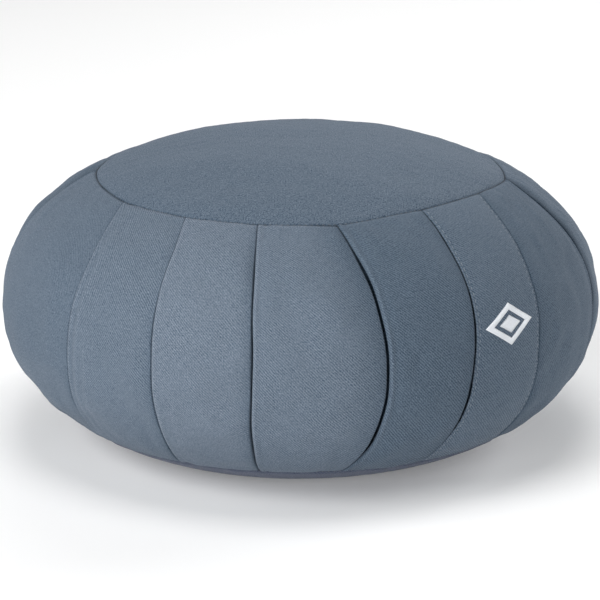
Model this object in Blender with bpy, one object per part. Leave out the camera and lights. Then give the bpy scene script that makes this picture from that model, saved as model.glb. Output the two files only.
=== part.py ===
"""Round meditation cushion: a filled body whose side is a pleated band, two round panels
sewn into its top and underside, and an upright strip stitched over the band at the front.

Metres, +Z up. The origin is the middle of the underside, on the surface it rests on.
Azimuths are in degrees: 0 is the front (-Y) and they grow towards +X.
"""
import math

import bmesh
import bpy
import numpy as np

# ---------------------------------------------------------------- driving sizes
WIDEST_RADIUS = 0.155        # half of the cushion's width
HEIGHT = 0.153               # top of the crown above the surface
WIDEST_HEIGHT = 0.068        # height of the widest ring
CROWN_SIDE = 2.124           # roundness of the upper half, sideways
CROWN_TOP = 2.368            # roundness of the upper half, upwards
BELLY_SIDE = 2.74            # roundness of the lower half, sideways
BELLY_BASE = 2.04            # roundness of the lower half, downwards
BASE_PRESS = 0.0101          # how far the belly would reach below the surface if it were free
BASE_EASE = 0.00465          # height over which the pressed base eases into the belly

TOP_SEAM_RADIUS = 0.1063     # seam between the top panel and the band
BOTTOM_SEAM_RADIUS = 0.1220  # seam between the band and the bottom panel
SEAM_LIFT = 0.0043           # the top seam runs this much further in, above the strip
SEAM_LIFT_AT = 47.5          # azimuth of that lift
SEAM_LIFT_SPREAD = 24.0      # half its width, degrees

BAND_LENGTH = 1.10           # the band laid flat, before pleating
CLOTH = 0.0015               # thickness of a sheet
GAP = 0.0006                 # between a sheet and what it lies on
GROOVE = 0.0012              # how far the seams draw the cloth in
FOLD_STEP = 0.0042           # valley beside a fold, below the crown of the panels
FOLD_EDGE = 0.0014           # fold's own edge, below the crown of the panels
UNDERCUT = 0.0006            # open space under a fold
STRIP_STEP = 0.0034          # valley beside the strip, below the crown of the panels
STRIP_GAP = 0.0004           # between the strip and the band under it
STRIP_MARGIN = 0.008         # share of the band's height left free at each end of the strip

# One row for each pleat: the azimuth of its folded edge at five heights of the band, from
# the top seam to the bottom seam, and the way it lies. +1: the panel on its +azimuth side
# lies on top, -1: the panel on its -azimuth side does, 0: the strip covers the place.
#         name   top_seam  upper    middle   lower    bottom_seam  lies
PLEATS = [
    ("P0",    -92.5,  -87.2,  -84.6,  -84.4,  -86.0,   +1),
    ("P1",   -54.8,   -47.7,   -46.5,   -48.0,   -51.5,   +1),
    ("P2",   -31.1,   -27.7,   -27.0,   -27.0,   -28.3,   +1),
    ("P3",   -10.8,    -8.9,    -8.3,    -8.7,    -9.0,   +1),
    ("P4",     9.6,    14.1,    15.8,    14.4,     9.5,   +1),
    ("P5",    35.3,    34.4,    33.2,    31.3,    28.7,    0),
    ("P6",    60.0,    52.0,    48.7,    48.4,    49.7,    0),
    ("P7",    82.5,    75.7,    74.0,    70.4,    68.0,   -1),
    ("P8",   102.9,    98.8,    97.9,    95.2,    91.7,   -1),
    ("P9",   122.0,   120.7,   121.3,   119.2,   116.3,   -1),
    ("P10",  142.3,   143.3,   145.0,   143.2,   139.7,   -1),
    ("P11",  161.6,   166.0,   168.7,   167.7,   164.6,   -1),
    ("P12",  182.2,   188.7,   192.1,   192.4,   190.8,   +1),
    ("P13",   202.8,  209.2,  212.6,  213.9,  212.3,   +1),
    ("P14",   224.6,  231.2,  234.4,  235.0,  232.6,   +1),
    ("P15",   246.9,  252.6,  255.2,  255.4,  253.4,   +1),
]
HEIGHTS = (0.0, 0.25, 0.5, 0.75, 1.0)   # where those five columns stand, as shares of the band

# Rings of the band between the seams, as shares of its height.
BAND_RINGS = (0.0, 0.035, 0.10, 0.18, 0.27, 0.36, 0.46, 0.56, 0.66, 0.76, 0.86, 0.95, 1.0)
# Rings of the round panels, as shares of the way from the middle to the seam.
TOP_RINGS = (0.33, 0.62, 0.85, 1.0)
PANEL_POINTS = 4             # points across each panel between two pleats
FOLD_POINTS = 6              # points around each fold

COLOURS = {                  # linear RGB of the cloth
    "pleated_body": (0.115, 0.147, 0.190),
    "top_panel": (0.086, 0.116, 0.156),
    "bottom_panel": (0.078, 0.090, 0.130),
    "front_strip": (0.084, 0.115, 0.154),
}


# ---------------------------------------------------------------- the cushion's profile
def profile_table(count=1500):
    """Arc length, radius, height and outward normal along the profile, from the middle of
    the top to the middle of the underside."""
    t = np.linspace(0.0, math.pi / 2, count)
    upper_r = WIDEST_RADIUS * np.sin(t) ** (2 / CROWN_SIDE)
    upper_z = WIDEST_HEIGHT + (HEIGHT - WIDEST_HEIGHT) * np.cos(t) ** (2 / CROWN_TOP)
    lower_r = WIDEST_RADIUS * np.cos(t) ** (2 / BELLY_SIDE)
    free_z = WIDEST_HEIGHT - (WIDEST_HEIGHT + BASE_PRESS) * np.sin(t) ** (2 / BELLY_BASE)
    eased_z = (free_z + BASE_EASE) ** 2 / (4 * BASE_EASE)
    lower_z = np.where(free_z > BASE_EASE, free_z, np.where(free_z < -BASE_EASE, 0.0, eased_z))
    r = np.concatenate([upper_r, lower_r[1:]])
    z = np.concatenate([upper_z, lower_z[1:]])
    s = np.concatenate([[0.0], np.cumsum(np.hypot(np.diff(r), np.diff(z)))])
    even = np.linspace(0.0, s[-1], 2 * count)
    r, z = np.interp(even, s, r), np.interp(even, s, z)
    dr, dz = np.gradient(r, even), np.gradient(z, even)
    size = np.hypot(dr, dz)
    return even, r, z, -dz / size, dr / size


ARC, RADIUS, LEVEL, OUT_R, OUT_Z = profile_table()
WIDEST_ARC = float(ARC[RADIUS.argmax()])
TOP_ARC = float(np.interp(TOP_SEAM_RADIUS, RADIUS[ARC <= WIDEST_ARC], ARC[ARC <= WIDEST_ARC]))
BOTTOM_ARC = float(np.interp(-BOTTOM_SEAM_RADIUS, -RADIUS[ARC >= WIDEST_ARC], ARC[ARC >= WIDEST_ARC]))
FULL_ARC = float(ARC[-1])
FLAT_RADIUS = float(RADIUS[(LEVEL <= 0.0) & (ARC > WIDEST_ARC)].max())


def seam_lift(azimuth):
    """How far further in the top seam runs at this azimuth."""
    away = abs((azimuth - SEAM_LIFT_AT + 180.0) % 360.0 - 180.0) / SEAM_LIFT_SPREAD
    return SEAM_LIFT * 0.5 * (1 + math.cos(math.pi * away)) if away < 1.0 else 0.0


def place(arc, azimuth, depth):
    """The point this deep under the cushion's outline."""
    out_r, out_z = np.interp(arc, ARC, OUT_R), np.interp(arc, ARC, OUT_Z)
    size = math.hypot(out_r, out_z)
    r = np.interp(arc, ARC, RADIUS) - depth * out_r / size
    z = np.interp(arc, ARC, LEVEL) - depth * out_z / size
    a = math.radians(azimuth)
    return (r * math.sin(a), -r * math.cos(a), z)


def band_arc(share, azimuth):
    """Arc length at this share of the band's height."""
    return TOP_ARC + share * (BOTTOM_ARC - TOP_ARC) - seam_lift(azimuth) * (1 - share) ** 3


def fold_azimuth(pleat, share):
    """Where a pleat's folded edge stands: a smooth curve through its row's five columns."""
    columns = pleat[1:6]
    total = 0.0
    for i, a in enumerate(columns):
        weight = 1.0
        for j, h in enumerate(HEIGHTS):
            if j != i:
                weight *= (share - h) / (HEIGHTS[i] - h)
        total += a * weight
    return total


def fold_depth(share):
    """How far each pleat tucks under, as an angle: the band's length that the cushion's
    girth at this height doesn't need is shared out over the pleats."""
    r = float(np.interp(band_arc(share, 180.0), ARC, RADIUS))
    lap = max(0.0, BAND_LENGTH - 2 * math.pi * r) / (2 * len(PLEATS))
    return math.degrees(lap / r)


def swell(share):
    """0 at the two seams, 1 between them: the seams hold the cloth down."""
    return min(1.0, share / 0.16, (1.0 - share) / 0.16)


# ---------------------------------------------------------------- one ring of the band
def fold_section(pleat, share):
    """(azimuth, depth) of the points around one fold, towards growing azimuth."""
    at, lies = fold_azimuth(pleat, share), pleat[6]
    r = float(np.interp(band_arc(share, at), ARC, RADIUS))
    mm = math.degrees(0.001 / r)
    seam = GROOVE * (1 - swell(share))
    if share in (BAND_RINGS[0], BAND_RINGS[-1]):
        return [(at + (k - 2.5) * 1.6 * mm, GROOVE) for k in range(FOLD_POINTS)]
    if lies == 0:
        inward = +1 if pleat[0] == "P5" else -1
        step = STRIP_STEP * (0.45 + 0.55 * swell(share)) + seam
        points = [(-3.0, step * 0.86), (-1.4, step * 0.97), (0.0, step), (1.4, step), (2.8, step * 0.99), (4.2, step * 0.97)]
        ring = [(at + inward * x * mm, depth) for x, depth in points]
        return ring if inward > 0 else ring[::-1]
    step = FOLD_STEP * (0.55 + 0.45 * swell(share)) + seam
    edge = FOLD_EDGE * (0.7 + 0.3 * swell(share)) + seam
    lap = fold_depth(share)
    points = [
        (-0.9 * mm, step),                                  # foot of the valley
        (lap, step + 0.0004),                               # end of the tuck, lower side
        (lap, step + 0.0004 - UNDERCUT * 0.7),              # end of the tuck, upper side
        (0.5 * mm, step - UNDERCUT * 1.6),                  # under the folded edge
        (0.0, (step + edge) / 2 - 0.0004),                  # nose of the fold
        (1.1 * mm, edge),                                   # top of the fold
    ]
    ring = [(at + lies * x, depth) for x, depth in points]
    return ring if lies > 0 else ring[::-1]


def panel_section(left, right, share):
    """(azimuth, depth) of the points across the panel between two pleats."""
    start, end = fold_section(left, share)[-1], fold_section(right, share)[0]
    covered = left[0] == "P5"
    out = []
    for k in range(PANEL_POINTS):
        x = (k + 1) / (PANEL_POINTS + 1)
        x = x + 0.06 * math.sin(2 * math.pi * x)            # closer together near the folds
        crown = math.sin(math.pi * x) ** 0.6
        hold = start[1] * (1 - x) + end[1] * x
        full = (CLOTH + STRIP_GAP + 0.0002 if covered else 0.0) + GROOVE * (1 - swell(share))
        depth = hold + (full - hold) * crown * swell(share)
        if share in (BAND_RINGS[0], BAND_RINGS[-1]):
            depth = GROOVE
        out.append((start[0] + (end[0] - start[0]) * x, depth))
    return out


def band_ring(share):
    """The whole ring of (azimuth, depth) at this share of the band's height."""
    ring = []
    for i, pleat in enumerate(PLEATS):
        ring += fold_section(pleat, share)
        after = PLEATS[(i + 1) % len(PLEATS)]
        if i + 1 == len(PLEATS):
            after = (after[0],) + tuple(a + 360.0 for a in after[1:6]) + (after[6],)
        ring += panel_section(pleat, after, share)
    return ring


# ---------------------------------------------------------------- mesh helpers
def ring_of(bm, points):
    return [bm.verts.new(p) for p in points]


def join_rings(bm, a, b):
    """Faces between two rings; the second may have half as many points."""
    n, step = len(a), len(a) // len(b)
    for i in range(n):
        j = (i + 1) % n
        if step == 1:
            bm.faces.new((a[i], a[j], b[j]))
            bm.faces.new((a[i], b[j], b[i]))
        elif i % 2 == 0:
            bm.faces.new((a[i], a[j], b[i // 2]))
        else:
            k = ((i + 1) % n) // 2
            bm.faces.new((a[i], a[j], b[k]))
            bm.faces.new((a[i], b[k], b[i // 2]))


def close_ring(bm, ring, middle):
    centre = bm.verts.new(middle)
    for i in range(len(ring)):
        bm.faces.new((ring[i], ring[(i + 1) % len(ring)], centre))


def finish(name, bm, parent):
    bmesh.ops.recalc_face_normals(bm, faces=bm.faces)
    if bm.calc_volume(signed=True) < 0:
        bmesh.ops.reverse_faces(bm, faces=bm.faces)
    mesh = bpy.data.meshes.new(name)
    bm.to_mesh(mesh)
    bm.free()
    mesh.shade_smooth()
    mesh.set_sharp_from_angle(angle=math.radians(50))
    material = bpy.data.materials.new(name + "_cloth")
    material.use_nodes = True
    shader = material.node_tree.nodes["Principled BSDF"]
    shader.inputs["Base Color"].default_value = (*COLOURS[name], 1.0)
    shader.inputs["Roughness"].default_value = 0.9
    shader.inputs["Metallic"].default_value = 0.0
    mesh.materials.append(material)
    obj = bpy.data.objects.new(name, mesh)
    bpy.context.scene.collection.objects.link(obj)
    obj.parent = parent
    return obj


# ---------------------------------------------------------------- the four pieces
def seam_azimuths(share):
    return [a for a, _ in band_ring(share)]


def top_ring(part, azimuths, depth, rim):
    """A ring of the crown: part of the way from the middle to the top seam."""
    points = []
    for a in azimuths:
        end = TOP_ARC - seam_lift(a) - (rim if part == 1.0 else 0.0)
        arc = part * end
        draw = GROOVE * max(0.0, (part - TOP_RINGS[-2]) / (1 - TOP_RINGS[-2]))
        points.append(place(arc, a, depth + draw))
    return points


def base_ring(part, azimuths, depth, rim):
    """A ring of the base: 0 is the edge of the flat, 1 the bottom seam."""
    flat_arc = float(np.interp(-FLAT_RADIUS, -RADIUS[ARC >= WIDEST_ARC], ARC[ARC >= WIDEST_ARC]))
    end = BOTTOM_ARC + (rim if part == 1.0 else 0.0)
    arc = flat_arc + part * (end - flat_arc)
    draw = GROOVE * max(0.0, (part - 0.7) / 0.3)
    points = [place(arc, a, depth + draw) for a in azimuths]
    if part == 0.0:
        points = [(x, y, depth) for x, y, z in points]
    return points


def make_body(parent):
    bm = bmesh.new()
    under = CLOTH + GAP
    rings = []
    for share in BAND_RINGS:
        rings.append(ring_of(bm, [place(band_arc(share, a), a, d) for a, d in band_ring(share)]))
    for a, b in zip(rings, rings[1:]):
        join_rings(bm, a, b)
    # crown under the top panel, below the wall that the panel's edge meets
    around = seam_azimuths(0.0)
    outer = ring_of(bm, top_ring(1.0, around, under, 0.0))
    join_rings(bm, rings[0], outer)
    inner = [ring_of(bm, top_ring(part, around[::2], under, 0.0)) for part in TOP_RINGS[-2::-1]]
    join_rings(bm, outer, inner[0])
    for a, b in zip(inner, inner[1:]):
        join_rings(bm, a, b)
    close_ring(bm, inner[-1], (0.0, 0.0, HEIGHT - under))
    # base over the bottom panel
    around = seam_azimuths(1.0)
    outer = ring_of(bm, base_ring(1.0, around, under, 0.0))
    join_rings(bm, rings[-1], outer)
    inner = [ring_of(bm, base_ring(part, around[::2], under, 0.0)) for part in (0.7, 0.35, 0.0)]
    join_rings(bm, outer, inner[0])
    for a, b in zip(inner, inner[1:]):
        join_rings(bm, a, b)
    close_ring(bm, inner[-1], (0.0, 0.0, under))
    return finish("pleated_body", bm, parent)


def make_panel(name, ring_maker, parts, around, middle, parent):
    """A round sheet: its outer face, its inner face and its rim."""
    bm = bmesh.new()
    faces = []
    for depth, centre in ((0.0, middle[0]), (CLOTH, middle[1])):
        rings = [ring_of(bm, ring_maker(part, around, depth, -GAP)) for part in parts]
        for a, b in zip(rings, rings[1:]):
            join_rings(bm, a, b)
        close_ring(bm, rings[-1], (0.0, 0.0, centre))
        faces.append(rings[0])
    join_rings(bm, faces[0], faces[1])
    return finish(name, bm, parent)


def make_strip(parent):
    """The upright strip over the band, between the places of P5 and P6."""
    across, along = 8, 15
    left, right = PLEATS[5], PLEATS[6]
    bm = bmesh.new()
    sides = []
    for lift in (STRIP_GAP + CLOTH, STRIP_GAP):
        rows = []
        for i in range(along):
            share = STRIP_MARGIN + (1 - 2 * STRIP_MARGIN) * i / (along - 1)
            a, b = fold_azimuth(left, share), fold_azimuth(right, share)
            row = []
            for k in range(across + 1):
                x = k / across
                x = x - 0.05 * math.sin(2 * math.pi * x)
                az = a + (b - a) * x
                depth = band_depth(az, share)
                row.append(bm.verts.new(place(band_arc(share, az), az, depth - lift)))
            rows.append(row)
        sides.append(rows)
    for rows in sides:
        for i in range(along - 1):
            for k in range(across):
                bm.faces.new((rows[i][k], rows[i][k + 1], rows[i + 1][k + 1]))
                bm.faces.new((rows[i][k], rows[i + 1][k + 1], rows[i + 1][k]))

    def border(rows):
        edge = [rows[0][k] for k in range(across)]
        edge += [rows[i][across] for i in range(along - 1)]
        edge += [rows[-1][k] for k in range(across, 0, -1)]
        edge += [rows[i][0] for i in range(along - 1, 0, -1)]
        return edge

    join_rings(bm, border(sides[0]), border(sides[1]))
    return finish("front_strip", bm, parent)


def band_depth(azimuth, share):
    """Least depth of the band's rings next to this height, at this azimuth under the strip."""
    near = [s for s in BAND_RINGS]
    above = max(s for s in near if s <= share)
    below = min(s for s in near if s >= share)
    depths = []
    for s in (above, below):
        ring = fold_section(PLEATS[5], s)[1:] + panel_section(PLEATS[5], PLEATS[6], s) + fold_section(PLEATS[6], s)[:-1]
        depths.append(float(np.interp(azimuth, [a for a, _ in ring], [d for _, d in ring])))
    mix = (share - above) / (below - above) if below > above else 0.0
    return depths[0] * (1 - mix) + depths[1] * mix


def main():
    for obj in list(bpy.data.objects):
        bpy.data.objects.remove(obj, do_unlink=True)
    root = bpy.data.objects.new("cushion", None)
    bpy.context.scene.collection.objects.link(root)
    make_body(root)
    make_panel("top_panel", lambda p, az, d, g: top_ring(p, az, d, -g), TOP_RINGS[::-1],
               seam_azimuths(0.0)[::2], (HEIGHT, HEIGHT - CLOTH), root)
    make_panel("bottom_panel", lambda p, az, d, g: base_ring(p, az, d, -g), (1.0, 0.7, 0.35, 0.0),
               seam_azimuths(1.0)[::2], (0.0, CLOTH), root)
    make_strip(root)


main()
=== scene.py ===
"""Looks of the round pleated meditation cushion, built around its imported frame.

Metres, +Z up, origin in the middle of the flat base. Azimuths are degrees, 0 at the front
(-Y), growing towards +X. Lengths across the cloth are in millimetres where a name says mm.
"""
import math

import bpy
import numpy as np
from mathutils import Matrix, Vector


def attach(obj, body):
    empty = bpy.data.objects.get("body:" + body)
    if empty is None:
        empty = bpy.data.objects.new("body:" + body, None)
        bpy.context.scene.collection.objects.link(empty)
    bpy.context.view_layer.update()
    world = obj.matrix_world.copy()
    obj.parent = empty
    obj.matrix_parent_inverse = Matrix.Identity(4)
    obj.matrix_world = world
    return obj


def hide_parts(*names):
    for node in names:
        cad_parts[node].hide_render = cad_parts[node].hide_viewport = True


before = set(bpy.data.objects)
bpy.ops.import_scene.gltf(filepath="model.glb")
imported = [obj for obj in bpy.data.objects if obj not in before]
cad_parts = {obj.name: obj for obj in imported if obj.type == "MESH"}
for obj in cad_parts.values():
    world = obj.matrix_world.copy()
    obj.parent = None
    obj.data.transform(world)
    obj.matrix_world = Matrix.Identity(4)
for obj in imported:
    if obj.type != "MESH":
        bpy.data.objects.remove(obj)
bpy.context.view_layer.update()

# ---------------------------------------------------------------- the cushion's own sizes
WIDEST_RADIUS = 0.155
HEIGHT = 0.153
WIDEST_HEIGHT = 0.068
CROWN_SIDE, CROWN_TOP = 2.124, 2.368
BELLY_SIDE, BELLY_BASE = 2.74, 2.04
BASE_PRESS, BASE_EASE = 0.0101, 0.00465
TOP_SEAM_RADIUS, BOTTOM_SEAM_RADIUS = 0.1063, 0.1220
SEAM_LIFT, SEAM_LIFT_AT, SEAM_LIFT_CORE, SEAM_LIFT_SPREAD = 0.0044, 47.0, 10.0, 36.0
BAND_LENGTH = 1.10
HEIGHTS = (0.0, 0.25, 0.5, 0.75, 1.0)
MM = 0.001
CLOTH_MM = 0.8

# azimuth of each fold's edge at five heights, and the way it lies (see part.py's table)
PLEATS = [
    ("P0",    -92.5,  -87.2,  -84.6,  -84.4,  -86.0,   +1),
    ("P1",   -54.8,   -47.7,   -46.5,   -48.0,   -51.5,   +1),
    ("P2",   -31.1,   -27.7,   -27.0,   -27.0,   -28.3,   +1),
    ("P3",   -10.8,    -8.9,    -8.3,    -8.7,    -9.0,   +1),
    ("P4",     9.6,    14.1,    15.8,    14.4,     9.5,   +1),
    ("P5",    35.3,    34.4,    33.2,    31.3,    28.7,    0),
    ("P6",    60.0,    52.0,    48.7,    48.4,    49.7,    0),
    ("P7",    82.5,    75.7,    74.0,    70.4,    68.0,   -1),
    ("P8",   102.9,    98.8,    97.9,    95.2,    91.7,   -1),
    ("P9",   122.0,   120.7,   121.3,   119.2,   116.3,   -1),
    ("P10",  142.3,   143.3,   145.0,   143.2,   139.7,   -1),
    ("P11",  161.6,   166.0,   168.7,   167.7,   164.6,   -1),
    ("P12",  182.2,   188.7,   192.1,   192.4,   190.8,   +1),
    ("P13",   202.8,  209.2,  212.6,  213.9,  212.3,   +1),
    ("P14",   224.6,  231.2,  234.4,  235.0,  232.6,   +1),
    ("P15",   246.9,  252.6,  255.2,  255.4,  253.4,   +1),
]
# how each fold looks, in mm at five heights of the band. valley: how deep the lower panel
# dives beside it; slot: width of the open line along its edge; roll: how far away the lower
# panel starts to turn down; broad: how much of the valley that broad turn takes; lip:
# thickness of the folded edge
FOLD_LOOKS = {
    #         valley                      slot                             roll   broad                           lip
    "P0":  ((1.8, 4.6, 4.8, 4.0, 0.9), (0.40, 1.00, 1.20, 0.90, 0.20), 16.0, (0.7, 2.4, 2.4, 1.6, 0.3), 1.9),
    "P1":  ((0.7, 1.2, 1.5, 1.7, 0.9), (0.18, 0.22, 0.26, 0.30, 0.22),  6.0, (0.2, 0.5, 0.6, 0.6, 0.2), 1.4),
    "P2":  ((0.8, 1.6, 2.5, 2.6, 1.2), (0.20, 0.26, 0.46, 0.55, 0.40),  7.0, (0.2, 0.7, 0.9, 0.8, 0.2), 1.5),
    "P3":  ((1.2, 3.6, 4.2, 4.0, 1.6), (0.35, 0.50, 0.75, 0.90, 0.70),  5.0, (0.4, 1.5, 1.6, 1.2, 0.5), 1.8),
    "P4":  ((1.6, 4.8, 5.8, 5.2, 1.8), (0.46, 0.52, 0.58, 0.56, 0.42), 13.0, (0.8, 3.4, 3.2, 2.4, 0.5), 2.0),
    "P5":  ((1.5, 3.8, 4.4, 4.2, 1.8), (0.60, 0.90, 1.05, 1.10, 0.70),  8.0, (0.2, 1.0, 1.2, 1.0, 0.3), 1.6),
    "P6":  ((0.9, 1.9, 2.1, 2.1, 1.3), (0.20, 0.35, 0.40, 0.45, 0.30),  5.0, (0.2, 0.5, 0.6, 0.6, 0.3), 1.6),
    "P7":  ((1.6, 3.4, 4.0, 3.6, 1.2), (0.70, 1.30, 1.60, 1.40, 0.50),  6.0, (0.3, 0.8, 1.0, 0.9, 0.3), 2.0),
    "P8":  ((0.9, 3.6, 4.2, 3.6, 0.9), (0.25, 0.80, 1.00, 0.80, 0.30),  8.0, (0.2, 1.3, 1.6, 1.3, 0.2), 1.8),
    "P9":  ((0.9, 4.4, 5.2, 4.4, 1.0), (0.30, 1.10, 1.40, 1.10, 0.40), 11.0, (0.3, 1.9, 2.2, 1.8, 0.2), 2.0),
    "P10": ((0.9, 3.0, 3.4, 3.0, 0.9), (0.20, 0.60, 0.70, 0.60, 0.25),  7.0, (0.2, 0.9, 1.1, 0.9, 0.2), 1.7),
    "P11": ((0.9, 4.6, 5.4, 4.6, 1.1), (0.30, 1.10, 1.40, 1.20, 0.40), 12.0, (0.3, 2.0, 2.3, 1.9, 0.2), 2.0),
    "P12": ((0.9, 4.0, 4.6, 4.0, 1.0), (0.25, 0.90, 1.10, 0.90, 0.30),  9.0, (0.2, 1.4, 1.7, 1.4, 0.2), 1.8),
    "P13": ((0.9, 3.0, 3.2, 2.8, 0.9), (0.20, 0.60, 0.60, 0.50, 0.25),  7.0, (0.2, 0.9, 1.0, 0.8, 0.2), 1.7),
    "P14": ((0.9, 4.6, 5.4, 4.6, 1.0), (0.30, 1.10, 1.40, 1.10, 0.40), 12.0, (0.3, 2.0, 2.3, 1.9, 0.2), 2.0),
    "P15": ((0.9, 3.4, 3.8, 3.2, 0.9), (0.20, 0.70, 0.80, 0.70, 0.25),  8.0, (0.2, 1.1, 1.3, 1.0, 0.2), 1.8),
}
# painted light on each fold: a painted highlight on the lip (size, mm) and painted shade on the lower
# panel beside it (sizes at five heights, mm)
EDGE_LOOKS = {
    "P0":  (0.14, 6.0, (0.50, 0.62, 0.60, 0.40, 0.15), 13.0),
    "P1":  (0.15, 2.2, (0.02, 0.04, 0.08, 0.14, 0.10), 3.0),
    "P2":  (0.16, 2.0, (0.06, 0.08, 0.18, 0.24, 0.22), 3.0),
    "P3":  (0.16, 1.8, (0.12, 0.20, 0.22, 0.22, 0.20), 4.0),
    "P4":  (0.16, 2.0, (0.28, 0.26, 0.20, 0.18, 0.14), 13.0),
    "P5":  (0.05, 2.0, (0.20, 0.22, 0.22, 0.22, 0.20), 4.0),
    "P6":  (0.05, 2.0, (0.10, 0.14, 0.16, 0.16, 0.12), 3.0),
    "P7":  (0.14, 3.5, (0.76, 0.92, 0.95, 0.90, 0.40), 6.0),
}
PLAIN_EDGE = (0.06, 2.4, (0.15, 0.26, 0.28, 0.26, 0.15), 6.0)
SEAM_STRAIGHT = {0: 1.2, 4: 1.0, 5: 0.8, 6: 0.6}   # mm that the seam runs inside its arc, by panel


# ---------------------------------------------------------------- profile
def profile_table(count=1500):
    t = np.linspace(0.0, math.pi / 2, count)
    upper_r = WIDEST_RADIUS * np.sin(t) ** (2 / CROWN_SIDE)
    upper_z = WIDEST_HEIGHT + (HEIGHT - WIDEST_HEIGHT) * np.cos(t) ** (2 / CROWN_TOP)
    lower_r = WIDEST_RADIUS * np.cos(t) ** (2 / BELLY_SIDE)
    free_z = WIDEST_HEIGHT - (WIDEST_HEIGHT + BASE_PRESS) * np.sin(t) ** (2 / BELLY_BASE)
    eased_z = (free_z + BASE_EASE) ** 2 / (4 * BASE_EASE)
    lower_z = np.where(free_z > BASE_EASE, free_z, np.where(free_z < -BASE_EASE, 0.0, eased_z))
    r = np.concatenate([upper_r, lower_r[1:]])
    z = np.concatenate([upper_z, lower_z[1:]])
    s = np.concatenate([[0.0], np.cumsum(np.hypot(np.diff(r), np.diff(z)))])
    even = np.linspace(0.0, s[-1], 2 * count)
    r, z = np.interp(even, s, r), np.interp(even, s, z)
    dr, dz = np.gradient(r, even), np.gradient(z, even)
    size = np.hypot(dr, dz)
    return even, r, z, -dz / size, dr / size


ARC, RADIUS, LEVEL, OUT_R, OUT_Z = profile_table()
WIDEST_ARC = float(ARC[RADIUS.argmax()])
TOP_ARC = float(np.interp(TOP_SEAM_RADIUS, RADIUS[ARC <= WIDEST_ARC], ARC[ARC <= WIDEST_ARC]))
BOTTOM_ARC = float(np.interp(-BOTTOM_SEAM_RADIUS, -RADIUS[ARC >= WIDEST_ARC], ARC[ARC >= WIDEST_ARC]))
FULL_ARC = float(ARC[-1])
FLAT_RADIUS = float(RADIUS[(LEVEL <= 0.0) & (ARC > WIDEST_ARC)].max())
BAND_MM = (BOTTOM_ARC - TOP_ARC) / MM


def smooth(x):
    x = np.clip(x, 0.0, 1.0)
    return x * x * (3 - 2 * x)


def place(arc, azimuth, depth):
    """Points this many metres under the cushion's outline; arrays of the same shape."""
    out_r, out_z = np.interp(arc, ARC, OUT_R), np.interp(arc, ARC, OUT_Z)
    size = np.hypot(out_r, out_z)
    r = np.interp(arc, ARC, RADIUS) - depth * out_r / size
    z = np.interp(arc, ARC, LEVEL) - depth * out_z / size
    a = np.radians(azimuth)
    return np.stack([r * np.sin(a), -r * np.cos(a), z], axis=-1)


def curve_through(values, share):
    """A smooth curve through five values at HEIGHTS."""
    total = np.zeros_like(np.asarray(share, float))
    for i, a in enumerate(values):
        weight = np.ones_like(total)
        for j, h in enumerate(HEIGHTS):
            if j != i:
                weight = weight * (share - h) / (HEIGHTS[i] - h)
        total = total + a * weight
    return total


def eased_through(values, share):
    """Straight runs between five values at HEIGHTS, eased; it never overshoots."""
    share = np.asarray(share, float)
    i = np.clip((share * 4).astype(int), 0, 3)
    x = smooth(share * 4 - i)
    v = np.asarray(values, float)
    return v[i] * (1 - x) + v[i + 1] * x


def fold_azimuth(index, share):
    return curve_through(PLEATS[index % 16][1:6], share) + 360.0 * (index // 16)


TOP_ENDS = np.array([p[1] for p in PLEATS] + [PLEATS[0][1] + 360.0])


def seam_lift(azimuth):
    """How far further in the top seam runs at this azimuth, in metres."""
    az = np.asarray(azimuth, float)
    away = np.abs((az - SEAM_LIFT_AT + 180.0) % 360.0 - 180.0)
    lift = SEAM_LIFT * smooth((SEAM_LIFT_SPREAD - away) / (SEAM_LIFT_SPREAD - SEAM_LIFT_CORE))
    wrapped = (az - TOP_ENDS[0]) % 360.0 + TOP_ENDS[0]
    for i in range(16):
        x = np.clip((wrapped - TOP_ENDS[i]) / (TOP_ENDS[i + 1] - TOP_ENDS[i]), 0.0, 1.0)
        lift = lift + SEAM_STRAIGHT.get(i, 0.3) * MM * 4 * x * (1 - x)
    return lift


def band_arc(share, azimuth):
    return TOP_ARC + share * (BOTTOM_ARC - TOP_ARC) - seam_lift(azimuth) * (1 - np.clip(share, 0, 1)) ** 3


def girth_radius(share):
    return np.interp(TOP_ARC + share * (BOTTOM_ARC - TOP_ARC), ARC, RADIUS)


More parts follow.
